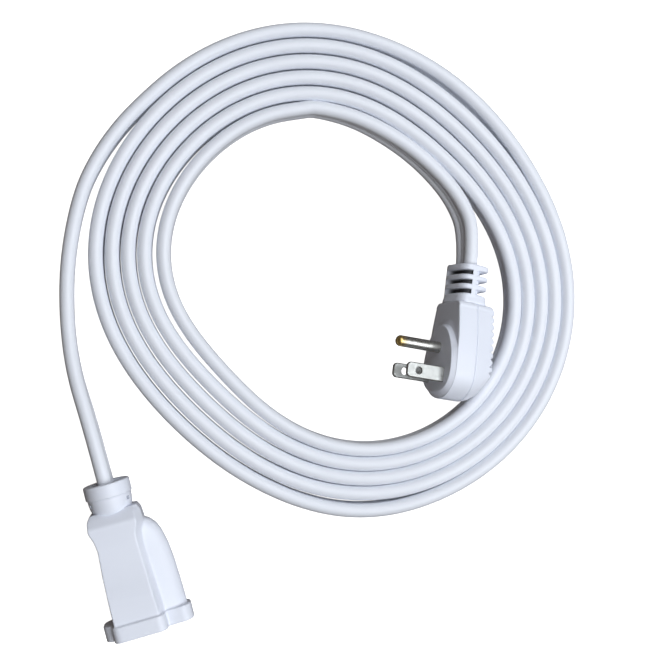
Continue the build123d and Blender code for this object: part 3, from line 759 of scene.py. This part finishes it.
# A small hole on each side of the neck.
HOLE_Y, HOLE_ANGLE = 55.8, 31
hole_ring = rounded_box(0.8, 0.9, 0.2, 4)
for degrees in (180 - HOLE_ANGLE, HOLE_ANGLE):
    angle = np.radians(degrees)
    direction = np.array((np.cos(angle), 0, np.sin(angle)))
    across = np.array((-direction[2], 0, direction[0]))
    block = []
    for reach in (5.2, 11.0):
        down_neck = np.array((0, 1, 0)) * (HOLE_Y + hole_ring[:, 0:1])
        block.append(direction * reach + across * hole_ring[:, 1:2] + down_neck)
    cut(collar, *loft(block))
collar_piece = adopt(collar, "connector_collar", CONNECTOR_FRAME, BODY_PVC)
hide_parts("connector_strain_relief")

# ---------------------------------------------------------------- CAD nodes that stay
FINISHES = {
    "plug_prong_carrier": HARD_PLASTIC,
    "plug_hot_blade": NICKEL,
    "plug_neutral_blade": NICKEL,
    "plug_ground_pin": PIN_NICKEL,
    "connector_contact_carrier": HARD_PLASTIC,
}
for end in ("plug", "connector"):
    FINISHES[f"{end}_hot_wire"] = BLACK_WIRE
    FINISHES[f"{end}_neutral_wire"] = WHITE_WIRE
    FINISHES[f"{end}_ground_wire"] = GREEN_WIRE
    for wire in ("hot", "neutral", "ground"):
        FINISHES[f"{end}_{wire}_copper"] = COPPER
        if end == "connector":
            FINISHES[f"{end}_{wire}_contact"] = BRASS
for node, material in FINISHES.items():
    NODES[node].data.materials.clear()
    NODES[node].data.materials.append(material)
    NODES[node].data.shade_smooth()
    NODES[node].data.set_sharp_from_angle(angle=np.radians(35))
for node in ("plug_hot_blade", "plug_neutral_blade"):
    soft = NODES[node].modifiers.new("soft_edges", "BEVEL")
    soft.width = 0.00018
    soft.segments = 3
    soft.limit_method = "ANGLE"
    soft.angle_limit = np.radians(40)

plug_pieces = [front_piece, rear_piece, relief_piece]
plug_pieces += [NODES[n] for n in NODES if n.startswith("plug_") and not NODES[n].hide_render]


# ---------------------------------------------------------------- floor and light
def area_light(name, where, target, size, energy, colour):
    light = bpy.data.objects.new(name, bpy.data.lights.new(name, "AREA"))
    light.data.shape = "DISK"
    light.data.size = size
    light.data.energy = energy
    light.data.color = colour
    light.location = where
    light.rotation_mode = "QUATERNION"
    light.rotation_quaternion = (Vector(target) - Vector(where)).to_track_quat("-Z", "Y")
    bpy.context.scene.collection.objects.link(light)


CENTRE = (0.0, 0.03, 0.0)
area_light("key", (0.54, -0.15, 1.05), CENTRE, 1.25, 13.2, (0.93, 0.965, 1.0))
area_light("top", (0.25, 0.70, 1.05), CENTRE, 0.9, 4.8, (0.93, 0.965, 1.0))

world = bpy.data.worlds.new("studio")
bpy.context.scene.world = world
world.use_nodes = True
background = world.node_tree.nodes["Background"]
background.inputs["Color"].default_value = (0.32, 0.27, 0.23, 1)
background.inputs["Strength"].default_value = 0.26

floor_mesh = bpy.data.meshes.new("floor")
floor_mesh.from_pydata([(-40, -40, 0), (40, -40, 0), (40, 40, 0), (-40, 40, 0)], [], [(0, 1, 2, 3)])
floor = bpy.data.objects.new("floor", floor_mesh)
floor.location.z = -0.0002
bpy.context.scene.collection.objects.link(floor)
floor_material, _, floor_shader = new_material("floor")
floor_shader.inputs["Base Color"].default_value = (0.9, 0.9, 0.9, 1)
floor_shader.inputs["Roughness"].default_value = 0.9
floor_shader.inputs["Emission Color"].default_value = (1, 1, 1, 1)
floor_shader.inputs["Emission Strength"].default_value = 0.95
floor_mesh.materials.append(floor_material)
floor.visible_diffuse = False
floor.visible_glossy = False
